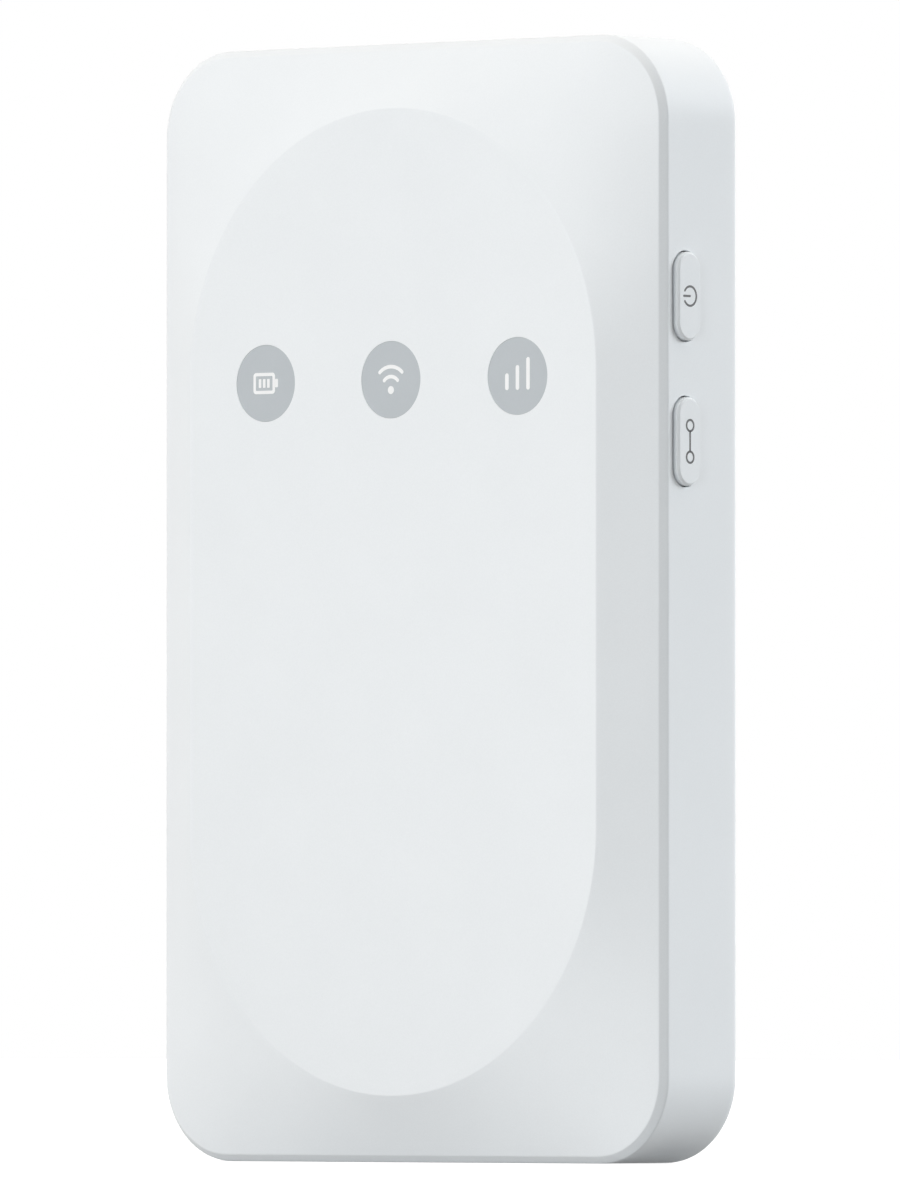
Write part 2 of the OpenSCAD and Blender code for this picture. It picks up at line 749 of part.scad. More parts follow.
module back_cover() color(white) difference() {
    union() {
        cover_slice(cover_y, back_y - cover_bevel, 0);
        hull() {
            cover_slice(back_y - cover_bevel - slab, back_y - cover_bevel, 0, $fn = bevel_fn);
            cover_slice(back_y - slab, back_y, cover_bevel, $fn = bevel_fn);
        }
        for (s = [-1, 1], z = tab_zs)
            along_y(cover_y - tab_depth, cover_y, s * (frame_x - tab_inset), z)
                square([tab_t, tab_w], center = true);
        for (x = tab_xs, z = [frame_z0 + tab_inset, frame_z1 - tab_inset])
            along_y(cover_y - tab_depth, cover_y, x, z) square([tab_w, tab_t], center = true);
    }
    along_y(back_y - nail_depth, back_y + over, nail_x, frame_z0) circle(nail_r);
}

front_housing();
battery_window();
wifi_window();
signal_window();
power_button();
pairing_button();
light_shield();
status_leds();
main_board();
baseband_shield();
rf_shield();
modem_chip();
memory_chip();
wifi_chip();
power_amplifier();
power_switch();
pairing_switch();
power_plunger();
pairing_plunger();
reset_switch();
reset_plunger();
usb_shell();
usb_tongue();
sim_base();
sim_cage();
mid_frame();
frame_screws();
battery_pack();
battery_cap();
battery_terminals();
battery_connector();
battery_springs();
main_antenna();
wifi_antenna();
antenna_pins();
back_cover();
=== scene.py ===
# Pocket hotspot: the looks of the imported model, standing on a white table under soft studio light
import bmesh
import bpy
import numpy as np
from mathutils import Matrix, Vector


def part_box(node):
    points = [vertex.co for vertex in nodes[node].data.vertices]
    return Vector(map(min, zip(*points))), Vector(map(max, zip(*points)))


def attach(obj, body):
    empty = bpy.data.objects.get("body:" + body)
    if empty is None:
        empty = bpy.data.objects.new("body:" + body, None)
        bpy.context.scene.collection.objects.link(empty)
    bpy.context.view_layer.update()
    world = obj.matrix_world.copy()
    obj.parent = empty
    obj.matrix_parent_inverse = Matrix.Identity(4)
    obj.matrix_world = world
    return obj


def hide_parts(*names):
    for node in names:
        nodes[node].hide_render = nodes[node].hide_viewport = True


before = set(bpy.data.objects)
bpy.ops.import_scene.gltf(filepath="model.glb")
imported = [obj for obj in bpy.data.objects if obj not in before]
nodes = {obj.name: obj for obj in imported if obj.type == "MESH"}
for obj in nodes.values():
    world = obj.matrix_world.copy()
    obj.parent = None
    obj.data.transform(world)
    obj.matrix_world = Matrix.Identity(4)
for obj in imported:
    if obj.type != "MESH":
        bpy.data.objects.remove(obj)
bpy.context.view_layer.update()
mm = 0.001

# Sizes read from the frame, in metres
houseLow, houseHigh = (np.array(corner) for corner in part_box("front_housing"))
halfWidth = (houseHigh[0] - houseLow[0]) / 2
halfHeight = (houseHigh[2] - houseLow[2]) / 2
midHeight = (houseHigh[2] + houseLow[2]) / 2
frontY = houseLow[1]
backY = houseHigh[1]

# Which way a section's width, height and depth run: seen from the front, from the buttons' side, from below
frontAxes = np.array([[1, 0, 0], [0, 0, 1], [0, 1, 0]], float)
sideAxes = np.array([[0, 1, 0], [0, 0, 1], [1, 0, 0]], float)
underAxes = np.array([[1, 0, 0], [0, 1, 0], [0, 0, 1]], float)


# How every piece is drawn: the parts of a rounded edge, the distance within which points are one, how near
# its plane an open rim lies, and the angle in degrees up to which neighbouring faces shade as one
meshing = {"edgeSteps": 4, "merge": 0.0004 * mm, "onPlane": 0.0001 * mm, "smoothAngle": 32}


# Angles of a loop: four quarter turns from the right-hand side, each ending where the next one starts
def loopAngles(steps):
    quarter = np.linspace(0, 90, steps + 1)
    return np.radians(np.arange(4)[:, None] * 90 + quarter[None, :]).ravel()


# Rounded rectangle: corner centre plus radius times (cos a, sin a), with straight sides between the quarters
def roundLoop(halfU, halfV, radius, steps):
    angle = loopAngles(steps)
    quarter = np.repeat(np.arange(4), steps + 1)
    signU = np.array([1, -1, -1, 1])[quarter]
    signV = np.array([1, 1, -1, -1])[quarter]
    u = signU * (halfU - radius) + radius * np.cos(angle)
    v = signV * (halfV - radius) + radius * np.sin(angle)
    return np.stack([u, v], axis=1)


def unit(vectors):
    return vectors / np.linalg.norm(vectors, axis=-1, keepdims=True)


# Loops through a row of corner loops. A corner P with rounding d becomes (1-t)^2 A + 2t(1-t) P + t^2 B, where
# A and B lie d before and after P, square to the loop. One more loop a further d away on both sides keeps the
# flats flat. A corner without rounding stays as it is.
def roundedStack(corners, tangents, rounds):
    t = np.linspace(0, 1, meshing["edgeSteps"] + 1)[:, None, None]
    loops = [corners[0]]
    for i in range(1, len(corners) - 1):
        d = rounds[i]
        if d == 0:
            loops.append(corners[i])
            continue
        step = np.stack([corners[i - 1] - corners[i], corners[i + 1] - corners[i]])
        back, on = unit(step - (step * tangents[i]).sum(-1, keepdims=True) * tangents[i])
        a = corners[i] + d * back
        b = corners[i] + d * on
        loops.append(a + d * back)
        loops.extend((1 - t) ** 2 * a + 2 * t * (1 - t) * corners[i] + t ** 2 * b)
        loops.append(b + d * on)
    loops.append(corners[-1])
    return np.stack(loops)


# Stack of rounded rectangles, each a row of half width, half height, corner radius, depth and rounding
def sectionStack(sections, axes, centre, steps):
    angle = loopAngles(steps)
    tangent = -np.sin(angle)[:, None] * axes[0] + np.cos(angle)[:, None] * axes[1]
    corners = [centre + roundLoop(*s[:3], steps) @ axes[:2] + s[3] * axes[2] for s in sections]
    return roundedStack(corners, [tangent] * len(sections), [s[4] for s in sections])


# Quads of a stack: loop r and point c join loop r + 1 and point c + 1, and the last point joins the first
def stackQuads(loops, points, first=0):
    r, c = np.meshgrid(np.arange(loops - 1), np.arange(points), indexing="ij")
    n = (c + 1) % points
    quads = np.stack([r * points + c, r * points + n, (r + 1) * points + n, (r + 1) * points + c], axis=-1)
    return quads + first


# Puts arrays of points and faces into a new object, merges what coincides and turns the faces outwards
def meshPiece(name, verts, faces, material, fillPlanes=()):
    mesh = bpy.data.meshes.new(name)
    mesh.from_pydata(verts.tolist(), [], faces)
    bm = bmesh.new()
    bm.from_mesh(mesh)
    bmesh.ops.remove_doubles(bm, verts=bm.verts[:], dist=meshing["merge"])
    bmesh.ops.dissolve_degenerate(bm, edges=bm.edges[:], dist=meshing["merge"])
    for axis, level in fillPlanes:
        rim = [e for e in bm.edges if e.is_boundary
               and all(abs(v.co[axis] - level) < meshing["onPlane"] for v in e.verts)]
        bmesh.ops.triangle_fill(bm, edges=rim, use_beauty=True)
    bmesh.ops.recalc_face_normals(bm, faces=bm.faces[:])
    openEdges = sum(not e.is_manifold for e in bm.edges)
    bm.to_mesh(mesh)
    bm.free()
    mesh.shade_smooth()
    mesh.set_sharp_from_angle(angle=np.radians(meshing["smoothAngle"]))
    piece = bpy.data.objects.new(name, mesh)
    bpy.context.scene.collection.objects.link(piece)
    mesh.materials.append(material)
    print("piece", name, len(mesh.polygons), "faces,", openEdges, "open edges")
    return piece


# Closed solid from a stack: its quads and a flat face over the first and the last loop
def stackPiece(name, stack, material):
    loops, points = stack.shape[:2]
    faces = stackQuads(loops, points).reshape(-1, 4).tolist()
    faces.append(list(range(points)))
    faces.append(list(range((loops - 1) * points, loops * points)))
    return meshPiece(name, stack.reshape(-1, 3), faces, material)


# Says which body carries a piece and which nodes it stands for
def settle(piece, body, standsFor=()):
    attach(piece, body)
    if standsFor:
        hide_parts(*standsFor)
    return piece


# Shader node helpers

def wire(tree, source, target):
    tree.links.new(source, target)


def newGroup(name, inputs, outputs):
    group = bpy.data.node_groups.new(name, "ShaderNodeTree")
    for label, kind, value in inputs:
        socket = group.interface.new_socket(name=label, in_out="INPUT", socket_type=kind)
        if value is not None:
            socket.default_value = value
    for label, kind in outputs:
        group.interface.new_socket(name=label, in_out="OUTPUT", socket_type=kind)
    return group, group.nodes.new("NodeGroupInput"), group.nodes.new("NodeGroupOutput")


def addNoise(tree, vector, detail, scale=None):
    noise = tree.nodes.new("ShaderNodeTexNoise")
    noise.inputs["Detail"].default_value = detail
    if scale is not None:
        noise.inputs["Scale"].default_value = scale
    wire(tree, vector, noise.inputs["Vector"])
    return noise


def addMath(tree, operation, first, second):
    node = tree.nodes.new("ShaderNodeMath")
    node.operation = operation
    for socket, value in zip(node.inputs, (first, second)):
        if isinstance(value, (int, float)):
            socket.default_value = value
        else:
            wire(tree, value, socket)
    return node.outputs[0]


# Spark-eroded mould surface: fine bumps, and a slow change of tone across the moulding
grainMix = {"fineDetail": 2.0, "slowDetail": 3.0, "fineShare": 0.6, "slowShare": 0.4}


def makeMouldGrain():
    inputs = [("Vector", "NodeSocketVector", None), ("Grain Scale", "NodeSocketFloat", 5000.0),
              ("Mottle Scale", "NodeSocketFloat", 150.0)]
    outputs = [("Height", "NodeSocketFloat"), ("Tone", "NodeSocketFloat")]
    group, source, sink = newGroup("mouldGrain", inputs, outputs)
    fine = addNoise(group, source.outputs["Vector"], grainMix["fineDetail"])
    slow = addNoise(group, source.outputs["Vector"], grainMix["slowDetail"])
    wire(group, source.outputs["Grain Scale"], fine.inputs["Scale"])
    wire(group, source.outputs["Mottle Scale"], slow.inputs["Scale"])
    fineShare = addMath(group, "MULTIPLY", fine.outputs["Fac"], grainMix["fineShare"])
    slowShare = addMath(group, "MULTIPLY", slow.outputs["Fac"], grainMix["slowShare"])
    mixed = addMath(group, "ADD", fineShare, slowShare)
    wire(group, fine.outputs["Fac"], sink.inputs["Height"])
    wire(group, mixed, sink.inputs["Tone"])
    return group


# Finger marks: soft patches where the surface has been held, broken up by a finer noise
markMix = {"patchDetail": 1.0, "ridgeDetail": 3.0, "ridgeScale": 2200.0,
           "patchShare": 0.75, "ridgeShare": 0.25}


def makeHandMarks():
    inputs = [("Vector", "NodeSocketVector", None), ("Patch Scale", "NodeSocketFloat", 60.0)]
    group, source, sink = newGroup("handMarks", inputs, [("Smear", "NodeSocketFloat")])
    patch = addNoise(group, source.outputs["Vector"], markMix["patchDetail"])
    ridges = addNoise(group, source.outputs["Vector"], markMix["ridgeDetail"], markMix["ridgeScale"])
    wire(group, source.outputs["Patch Scale"], patch.inputs["Scale"])
    softPatch = addMath(group, "MULTIPLY", patch.outputs["Fac"], markMix["patchShare"])
    softRidges = addMath(group, "MULTIPLY", ridges.outputs["Fac"], markMix["ridgeShare"])
    wire(group, addMath(group, "ADD", softPatch, softRidges), sink.inputs["Smear"])
    return group


# Rolled sheet metal: a noise drawn out along one direction by the Stretch vector, under a slow haze
brushMix = {"lineDetail": 2.0, "hazeDetail": 2.0, "hazeScale": 300.0, "lineShare": 0.7, "hazeShare": 0.3}


def makeSheetBrush():
    inputs = [("Vector", "NodeSocketVector", None), ("Stretch", "NodeSocketVector", (1.0, 1.0, 1.0)),
              ("Line Scale", "NodeSocketFloat", 3000.0)]
    outputs = [("Height", "NodeSocketFloat"), ("Gloss", "NodeSocketFloat")]
    group, source, sink = newGroup("sheetBrush", inputs, outputs)
    drawn = group.nodes.new("ShaderNodeVectorMath")
    drawn.operation = "MULTIPLY"
    wire(group, source.outputs["Vector"], drawn.inputs[0])
    wire(group, source.outputs["Stretch"], drawn.inputs[1])
    lines = addNoise(group, drawn.outputs[0], brushMix["lineDetail"])
    haze = addNoise(group, source.outputs["Vector"], brushMix["hazeDetail"], brushMix["hazeScale"])
    wire(group, source.outputs["Line Scale"], lines.inputs["Scale"])
    lineShare = addMath(group, "MULTIPLY", lines.outputs["Fac"], brushMix["lineShare"])
    hazeShare = addMath(group, "MULTIPLY", haze.outputs["Fac"], brushMix["hazeShare"])
    wire(group, lines.outputs["Fac"], sink.inputs["Height"])
    wire(group, addMath(group, "ADD", lineShare, hazeShare), sink.inputs["Gloss"])
    return group


mouldGrain = makeMouldGrain()
handMarks = makeHandMarks()
sheetBrush = makeSheetBrush()
noiseSpan = (0.3, 0.7)  # the part of a noise's range over which a finish changes
print("shader groups:", len(bpy.data.node_groups))


def newLook(name):
    material = bpy.data.materials.new(name)
    material.use_nodes = True
    tree = material.node_tree
    shader = tree.nodes["Principled BSDF"]
    spot = tree.nodes.new("ShaderNodeTexCoord")
    return material, tree, shader, spot.outputs["Object"]


def placeGroup(tree, group, spot, values):
    node = tree.nodes.new("ShaderNodeGroup")
    node.node_tree = group
    wire(tree, spot, node.inputs["Vector"])
    for label, value in values.items():
        node.inputs[label].default_value = value
    return node


def rampTo(tree, factor, target, dark, light):
    ramp = tree.nodes.new("ShaderNodeValToRGB")
    for element, place, colour in zip(ramp.color_ramp.elements, noiseSpan, (dark, light)):
        element.position = place
        element.color = (*colour, 1)
    wire(tree, factor, ramp.inputs["Fac"])
    wire(tree, ramp.outputs["Color"], target)


def rangeTo(tree, factor, target, low, high):
    spread = tree.nodes.new("ShaderNodeMapRange")
    spread.inputs["From Min"].default_value = noiseSpan[0]
    spread.inputs["From Max"].default_value = noiseSpan[1]
    spread.inputs["To Min"].default_value = low
    spread.inputs["To Max"].default_value = high
    wire(tree, factor, spread.inputs["Value"])
    wire(tree, spread.outputs["Result"], target)


def bumpTo(tree, height, target, strength, distance):
    bump = tree.nodes.new("ShaderNodeBump")
    bump.inputs["Strength"].default_value = strength
    bump.inputs["Distance"].default_value = distance
    wire(tree, height, bump.inputs["Height"])
    wire(tree, bump.outputs["Normal"], target)


# Moulded plastic: tone and bump from the mould's grain, roughness from finger marks
def plasticLook(name, look):
    material, tree, shader, spot = newLook(name)
    scales = {"Grain Scale": look["grain"], "Mottle Scale": look["mottle"]}
    grain = placeGroup(tree, mouldGrain, spot, scales)
    marks = placeGroup(tree, handMarks, spot, {"Patch Scale": look["marks"]})
    rampTo(tree, grain.outputs["Tone"], shader.inputs["Base Color"], look["dark"], look["light"])
    rangeTo(tree, marks.outputs["Smear"], shader.inputs["Roughness"], *look["rough"])
    bumpTo(tree, grain.outputs["Height"], shader.inputs["Normal"], look["bump"], look["grainDepth"])
    shader.inputs["Specular IOR Level"].default_value = look["specular"]
    return material


# Sheet metal: brushed bump and gloss, with a little mottling in the colour
def metalLook(name, look):
    material, tree, shader, spot = newLook(name)
    scales = {"Grain Scale": look["lines"], "Mottle Scale": look["mottle"]}
    brush = placeGroup(tree, sheetBrush, spot, {"Stretch": look["stretch"], "Line Scale": look["lines"]})
    grain = placeGroup(tree, mouldGrain, spot, scales)
    rampTo(tree, grain.outputs["Tone"], shader.inputs["Base Color"], look["dark"], look["light"])
    rangeTo(tree, brush.outputs["Gloss"], shader.inputs["Roughness"], *look["rough"])
    bumpTo(tree, brush.outputs["Height"], shader.inputs["Normal"], look["bump"], look["grainDepth"])
    shader.inputs["Metallic"].default_value = 1.0
    return material


shellWhite = plasticLook("shellWhite", {
    "dark": (0.775, 0.803, 0.818), "light": (0.805, 0.833, 0.848), "rough": (0.56, 0.64), "specular": 0.25,
    "grain": 6500.0, "mottle": 120.0, "marks": 45.0, "bump": 0.18, "grainDepth": 0.012 * mm})
buttonWhite = plasticLook("buttonWhite", {
    "dark": (0.77, 0.798, 0.813), "light": (0.8, 0.828, 0.843), "rough": (0.56, 0.64), "specular": 0.25,
    "grain": 8000.0, "mottle": 200.0, "marks": 160.0, "bump": 0.12, "grainDepth": 0.01 * mm})
windowGrey = plasticLook("windowGrey", {
    "dark": (0.41, 0.445, 0.468), "light": (0.43, 0.465, 0.488), "rough": (0.4, 0.48), "specular": 0.5,
    "grain": 7000.0, "mottle": 260.0, "marks": 180.0, "bump": 0.08, "grainDepth": 0.008 * mm})
printWhite = plasticLook("printWhite", {
    "dark": (0.81, 0.82, 0.82), "light": (0.85, 0.86, 0.86), "rough": (0.45, 0.55), "specular": 0.4,
    "grain": 9000.0, "mottle": 500.0, "marks": 300.0, "bump": 0.1, "grainDepth": 0.006 * mm})
printDark = plasticLook("printDark", {
    "dark": (0.05, 0.052, 0.055), "light": (0.075, 0.077, 0.08), "rough": (0.45, 0.55), "specular": 0.4,
    "grain": 9000.0, "mottle": 500.0, "marks": 300.0, "bump": 0.1, "grainDepth": 0.006 * mm})
framePale = plasticLook("framePale", {
    "dark": (0.58, 0.59, 0.6), "light": (0.64, 0.65, 0.66), "rough": (0.48, 0.6), "specular": 0.4,
    "grain": 4500.0, "mottle": 90.0, "marks": 70.0, "bump": 0.3, "grainDepth": 0.02 * mm})
blackPlastic = plasticLook("blackPlastic", {
    "dark": (0.014, 0.014, 0.016), "light": (0.026, 0.026, 0.028), "rough": (0.4, 0.55), "specular": 0.45,
    "grain": 5000.0, "mottle": 300.0, "marks": 200.0, "bump": 0.25, "grainDepth": 0.015 * mm})
chipEpoxy = plasticLook("chipEpoxy", {
    "dark": (0.018, 0.018, 0.019), "light": (0.034, 0.034, 0.036), "rough": (0.5, 0.62), "specular": 0.4,
    "grain": 7000.0, "mottle": 400.0, "marks": 220.0, "bump": 0.3, "grainDepth": 0.015 * mm})
batteryWrap = plasticLook("batteryWrap", {
    "dark": (0.52, 0.53, 0.545), "light": (0.545, 0.555, 0.57), "rough": (0.42, 0.47), "specular": 0.4,
    "grain": 2600.0, "mottle": 30.0, "marks": 40.0, "bump": 0.06, "grainDepth": 0.012 * mm})
flexAmber = plasticLook("flexAmber", {
    "dark": (0.36, 0.155, 0.04), "light": (0.5, 0.24, 0.07), "rough": (0.26, 0.36), "specular": 0.55,
    "grain": 2600.0, "mottle": 220.0, "marks": 150.0, "bump": 0.15, "grainDepth": 0.015 * mm})
ledPack = plasticLook("ledPack", {
    "dark": (0.72, 0.7, 0.5), "light": (0.82, 0.8, 0.6), "rough": (0.2, 0.3), "specular": 0.5,
    "grain": 9000.0, "mottle": 900.0, "marks": 400.0, "bump": 0.1, "grainDepth": 0.01 * mm})
boardGreen = plasticLook("boardGreen", {
    "dark": (0.008, 0.06, 0.025), "light": (0.02, 0.12, 0.05), "rough": (0.28, 0.4), "specular": 0.5,
    "grain": 900.0, "mottle": 350.0, "marks": 120.0, "bump": 0.3, "grainDepth": 0.03 * mm})
tinCan = metalLook("tinCan", {
    "dark": (0.62, 0.62, 0.61), "light": (0.74, 0.74, 0.73), "rough": (0.28, 0.42),
    "stretch": (0.06, 1.0, 1.0), "lines": 5000.0, "mottle": 250.0, "bump": 0.2, "grainDepth": 0.012 * mm})
socketSteel = metalLook("socketSteel", {
    "dark": (0.55, 0.56, 0.58), "light": (0.68, 0.69, 0.71), "rough": (0.2, 0.32),
    "stretch": (1.0, 1.0, 0.08), "lines": 7000.0, "mottle": 400.0, "bump": 0.15, "grainDepth": 0.01 * mm})
screwZinc = metalLook("screwZinc", {
    "dark": (0.5, 0.5, 0.52), "light": (0.66, 0.66, 0.68), "rough": (0.25, 0.4),
    "stretch": (1.0, 1.0, 1.0), "lines": 6000.0, "mottle": 900.0, "bump": 0.2, "grainDepth": 0.012 * mm})
contactGold = metalLook("contactGold", {
    "dark": (0.78, 0.56, 0.2), "light": (0.9, 0.68, 0.3), "rough": (0.18, 0.3),
    "stretch": (1.0, 0.1, 1.0), "lines": 7000.0, "mottle": 800.0, "bump": 0.12, "grainDepth": 0.008 * mm})
print("materials:", len(bpy.data.materials))

# Housing: pill plateau, ruled slope, 45 degree strip, flat walls, back rounding and the hollow inside
house = {
    "cornerRadius": 8.2 * mm, "rimStrip": 0.65 * mm, "sideRun": 5.35 * mm, "endRun": 5.7 * mm,
    "domeRise": 2.85 * mm, "backRound": 1.2 * mm, "wall": 1.5 * mm, "skin": 1.6 * mm,
    "plateauMargin": 0.8 * mm, "wallMargin": 0.3 * mm, "innerRim": 3.83 * mm, "innerInset": 0.375 * mm,
    "pillCrease": 0.09 * mm, "rimCrease": 0.1 * mm, "bandCrease": 0.12 * mm, "lipCrease": 0.07 * mm,
    "quarterSteps": 96, "slopeSteps": 8, "roundSteps": 8}
wallFill = {"loopGap": 4 * mm, "squareOn": 0.99999}  # wider loop gaps and squarer normals are flat wall
windowHole = {"gap": 0.04 * mm, "edge": 0.015 * mm, "margin": 0.25 * mm, "steps": 24}
buttonHole = {"gap": 0.25 * mm, "endGap": 0.15 * mm, "edge": 0.02 * mm, "margin": 0.3 * mm, "steps": 16}
socketHole = {"gap": 0.28 * mm, "edge": 0.1 * mm, "margin": 0.4 * mm, "steps": 16}


# Middle and half sizes of a node's box
def boxMiddle(node):
    low, high = (np.array(corner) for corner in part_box(node))
    return (low + high) / 2, (high - low) / 2


windowNames = ["battery_window", "wifi_window", "signal_window"]
buttonNames = ["power_button", "pairing_button"]
windowFlange = 0.8 * mm
buttonEar = 1.8 * mm
windowRadius = boxMiddle("battery_window")[1][0] - windowFlange
buttonHalfWidth = boxMiddle("power_button")[1][1]
buttonHalfLength = boxMiddle("power_button")[1][2] - buttonEar


# One row of a stack: half width, half height and corner radius drawn in alike, then depth and rounding
def inset(half, amount, depth, rounding=0.0):
    return (half[0] - amount, half[1] - amount, max(half[2] - amount, 0), depth, rounding)


# Points and outward normals of one quarter of the rim and of the pill, from where the pill's straight side
# ends to the middle of the top. The pill's arc and the rim's line, arc and line are shared out evenly by
# length, so the slope ruled between them has no fold.
def quarterPaths(steps):
    share = np.linspace(1, 0, steps + 1)
    radius = house["cornerRadius"] - house["rimStrip"]
    endFlat = halfWidth - house["cornerRadius"]
    pillHalf = halfWidth - house["rimStrip"] - house["sideRun"]
    pillFlat = halfHeight - house["rimStrip"] - house["endRun"] - pillHalf
    arc = radius * np.pi / 2
    along = share * (endFlat + arc + halfHeight - house["cornerRadius"] - pillFlat)
    turn = np.clip((along - endFlat) / radius, 0, np.pi / 2)
    rimNormal = np.stack([np.sin(turn), np.cos(turn)], axis=1)
    rimX = np.minimum(along, endFlat)
    rimZ = halfHeight - house["cornerRadius"] - np.maximum(along - endFlat - arc, 0)
    rim = np.stack([rimX, rimZ], axis=1) + radius * rimNormal
    pillTurn = share * np.pi / 2
    pillNormal = np.stack([np.sin(pillTurn), np.cos(pillTurn)], axis=1)
    pill = np.array([0, pillFlat]) + pillHalf * pillNormal
    return rim, rimNormal, pill, pillNormal


# The four quarters of a loop, mirrored and run on from one another anticlockwise
def fullLoop(quarter):
    return np.concatenate([quarter, quarter[::-1] * [-1, 1], quarter * [-1, -1], quarter[::-1] * [1, -1]])


# Corner loops of the housing from the plateau's edge over the outside and the lip to the inner plateau
def houseLoops():
    rim, rimNormal, pill, pillNormal = (fullLoop(part) for part in quarterPaths(house["quarterSteps"]))
    middle = np.array([0, 0, midHeight])

    def tangentOf(normal):
        return np.stack([-normal[:, 1], normal[:, 0]], axis=1) @ frontAxes[:2]

    def rimLoop(inward, depth):
        flat = rim + (house["rimStrip"] - inward) * rimNormal
        return middle + flat @ frontAxes[:2] + depth * frontAxes[2]

    def pillLoop(inward, depth):
        flat = pill - inward * pillNormal
        return middle + flat @ frontAxes[:2] + depth * frontAxes[2]

    rimY = frontY + house["domeRise"]
    slopeTop, slopeFoot = pillLoop(0, frontY), rimLoop(house["rimStrip"], rimY)
    shares = np.linspace(0, 1, house["slopeSteps"] + 1)[1:-1]
    turn = np.radians(np.linspace(0, 90, house["roundSteps"] + 1))
    roundY = backY - house["backRound"] * (1 - np.sin(turn))
    roundIn = house["backRound"] * (1 - np.cos(turn))
    rows = [(pillLoop(house["plateauMargin"], frontY), 0), (slopeTop, house["pillCrease"])]
    rows += [((1 - v) * slopeTop + v * slopeFoot, 0) for v in shares]
    rows += [(slopeFoot, house["rimCrease"]), (rimLoop(0, rimY + house["rimStrip"]), house["bandCrease"])]
    rows += [(rimLoop(0, roundY[0] - house["wallMargin"]), 0)]
    rows += [(rimLoop(i, y), 0) for i, y in zip(roundIn, roundY)]
    rows += [(rimLoop(house["wall"], backY), house["lipCrease"]),
             (rimLoop(house["wall"], frontY + house["innerRim"]), 0),
             (pillLoop(house["innerInset"], frontY + house["skin"]), 0)]
    pillRows = 2
    tangents = [tangentOf(pillNormal)] * pillRows + [tangentOf(rimNormal)] * (len(rows) - pillRows)
    stack = roundedStack([row[0] for row in rows], tangents, [row[1] for row in rows])
    return stack, rimNormal


# Wall of a hole: a ring lying in the outer face, a rounded edge, and straight on to the inner face
def holeStack(half, hole, axes, centre, outside, inside):
    half = tuple(h + hole["gap"] for h in half)
    rows = [inset(half, -hole["margin"], outside), inset(half, 0, outside, hole["edge"]),
            inset(half, 0, inside)]
    return sectionStack(rows, axes, centre, hole["steps"])


def makeHousing():
    stack, normal = houseLoops()
    loops, points = stack.shape[:2]
    # The tall quads of the right-hand wall and of the bottom wall are left out and filled round the holes
    tall = np.abs(np.diff(stack[:, 0, 1])) > wallFill["loopGap"]
    onRight = normal[:, 0] > wallFill["squareOn"]
    onBottom = normal[:, 1] < -wallFill["squareOn"]
    flat = (onRight & np.roll(onRight, -1)) | (onBottom & np.roll(onBottom, -1))
    quads = stackQuads(loops, points)
    keep = ~(tall[:, None] & flat[None, :])
    verts = [stack.reshape(-1, 3)]
    faces = [quads[keep]]
    holes = []
    for name in windowNames:
        middle = boxMiddle(name)[0] * [1, 0, 1]
        half = (windowRadius,) * 3
        holes.append(holeStack(half, windowHole, frontAxes, middle, frontY, frontY + house["skin"]))
    for name in buttonNames:
        middle = boxMiddle(name)[0] * [0, 1, 1]
        # The hole is closer to the button's ends than to its sides
        endLess = buttonHole["gap"] - buttonHole["endGap"]
        half = (buttonHalfWidth, buttonHalfLength - endLess, buttonHalfWidth)
        inner = halfWidth - house["wall"]
        holes.append(holeStack(half, buttonHole, sideAxes, middle, halfWidth, inner))
    middle, size = boxMiddle("usb_shell")
    half = (size[0], size[1], size[1])
    inner = houseLow[2] + house["wall"]
    holes.append(holeStack(half, socketHole, underAxes, middle * [1, 1, 0], houseLow[2], inner))
    for hole in holes:
        faces.append(stackQuads(*hole.shape[:2], first=sum(len(v) for v in verts)).reshape(-1, 4))
        verts.append(hole.reshape(-1, 3))
    fills = [(1, frontY), (1, frontY + house["skin"]), (0, halfWidth), (0, halfWidth - house["wall"]),
             (2, houseLow[2]), (2, houseLow[2] + house["wall"])]
    shell = meshPiece("housingShell", np.concatenate(verts), np.concatenate(faces).tolist(), shellWhite,
                      fillPlanes=fills)
    return settle(shell, "housing", ["front_housing"])


makeHousing()

# Status windows: glued grey discs with a flange behind the skin
disc = {"sink": 0.015 * mm, "fit": 0.028 * mm, "edge": 0.02 * mm, "faceMargin": 0.5 * mm,
        "flangeEdge": 0.1 * mm, "steps": 24}


# Round sections from the face back: face, its rim, the seat behind the skin, the flange and the back
def makeWindow(name):
    low, high = (np.array(corner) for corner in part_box(name))
    face = (windowRadius + disc["fit"],) * 3
    wide = (windowRadius + windowFlange,) * 3
    faceY = frontY + disc["sink"]
    seat = frontY + house["skin"]
    rows = [inset(face, disc["faceMargin"], faceY), inset(face, 0, faceY, disc["edge"]),
            inset(face, 0, seat), inset(wide, 0, seat, disc["flangeEdge"]),
            inset(wide, 0, high[1], disc["flangeEdge"]), inset(face, 0, high[1])]
    stack = sectionStack(rows, frontAxes, (low + high) / 2 * [1, 0, 1], disc["steps"])
    return settle(stackPiece(name + "Disc", stack, windowGrey), "housing", [name])


for name in windowNames:
    makeWindow(name)

# Printed signs: thin plates of ink, given as outlines in the plane of the face that carries them
ink = {"sunk": 0.01 * mm, "proud": 0.012 * mm, "arcPoints": 40, "capSteps": 12, "cornerSteps": 8}


